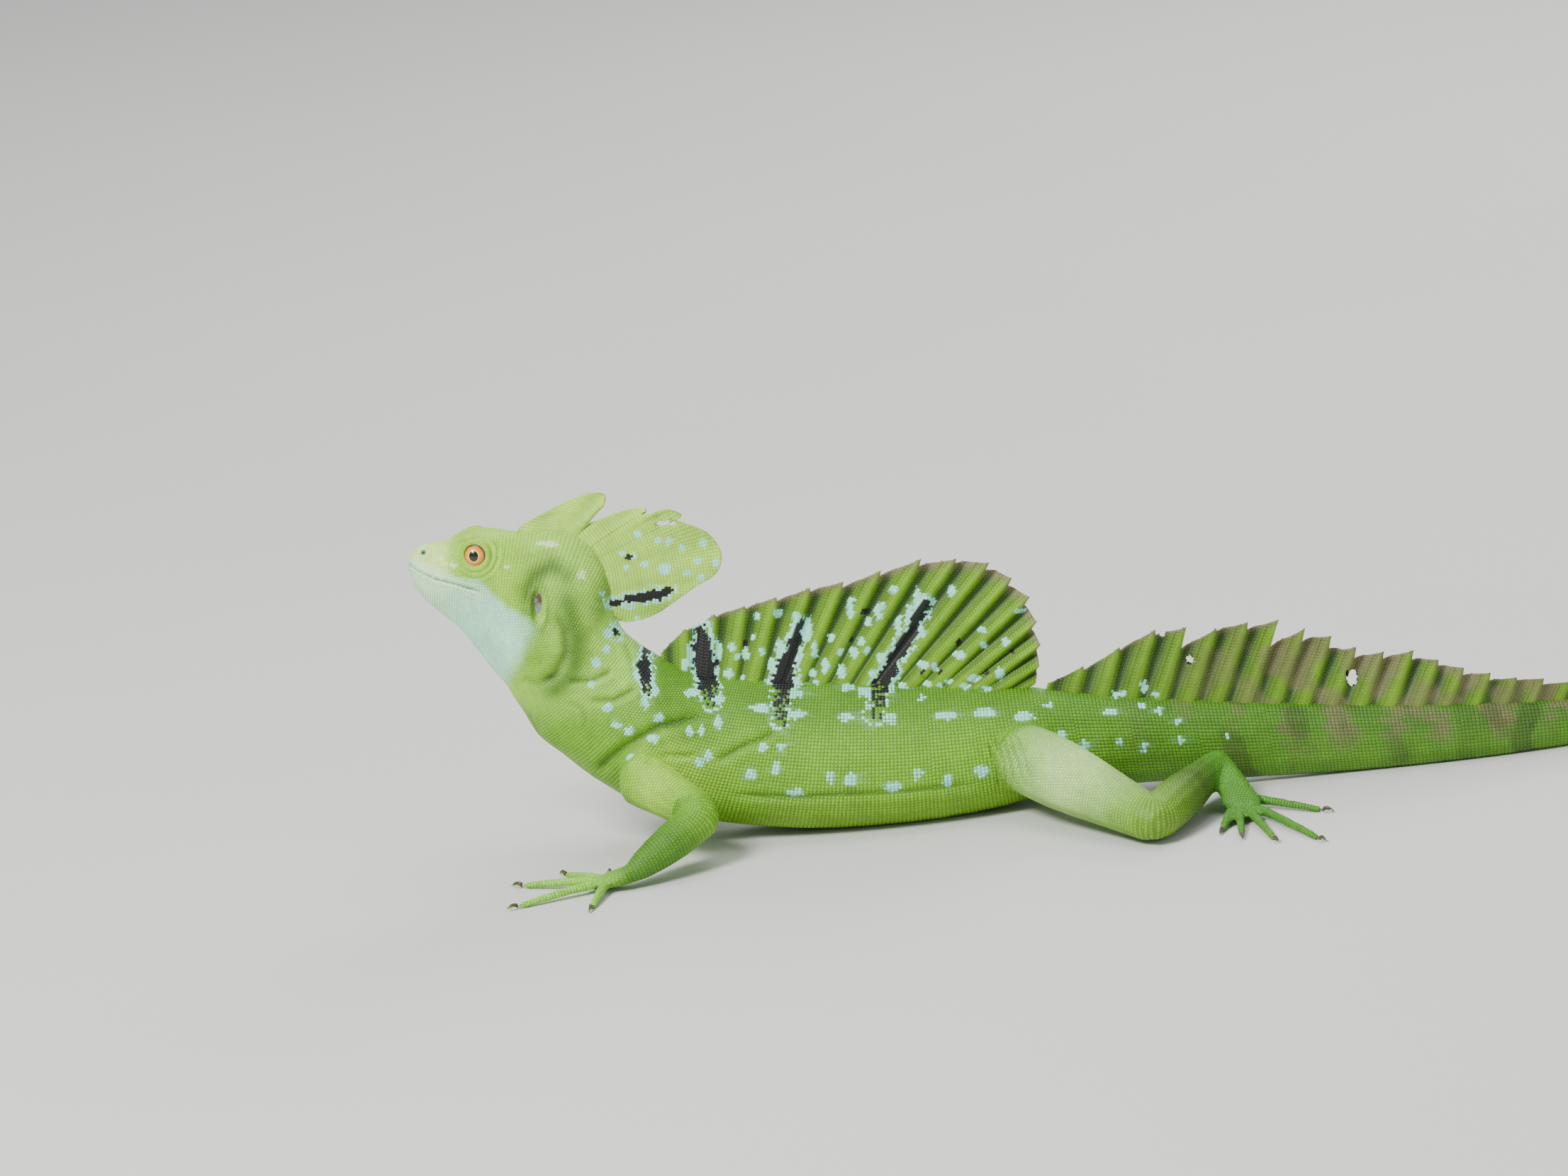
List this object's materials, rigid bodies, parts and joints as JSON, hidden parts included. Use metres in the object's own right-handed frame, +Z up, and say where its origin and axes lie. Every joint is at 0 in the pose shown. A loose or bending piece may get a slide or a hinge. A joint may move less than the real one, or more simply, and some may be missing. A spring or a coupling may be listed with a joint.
{
  "type": "green basilisk lizard",
  "caption": "Life-size still model of an adult male crested lizard lying on its belly, head raised, with crests on head, back and tail.",
  "frame": {"origin": "centre of the footprint of the whole animal, on the floor", "axes": "+X from the head towards the tail, +Y towards the animal's right side, +Z up"},
  "size_m": [0.701, 0.1724, 0.1164],
  "materials": {
    "skin": "fine scales, satin",
    "face_skin": "fine scales, satin",
    "crest": "pleated scaly skin, satin",
    "iris": "glossy eye"
  },
  "bodies": {
    "root": {"head": "face_skin", "neck": "face_skin", "torso": "skin", "tail_1": "skin", "tail_2": "skin", "tail_3": "skin", "tail_4": "skin", "tail_5": "skin", "eye_left": "iris", "eye_right": "iris", "head_crest_front": "crest", "head_crest_rear": "crest", "back_crest": "crest", "tail_crest": "crest", "upper_arm_left": "skin", "forearm_left": "skin", "hand_left": "skin", "thigh_left": "skin", "shank_left": "skin", "foot_left": "skin", "upper_arm_right": "skin", "forearm_right": "skin", "hand_right": "skin", "thigh_right": "skin", "shank_right": "skin", "foot_right": "skin"}
  },
  "joints": []
}
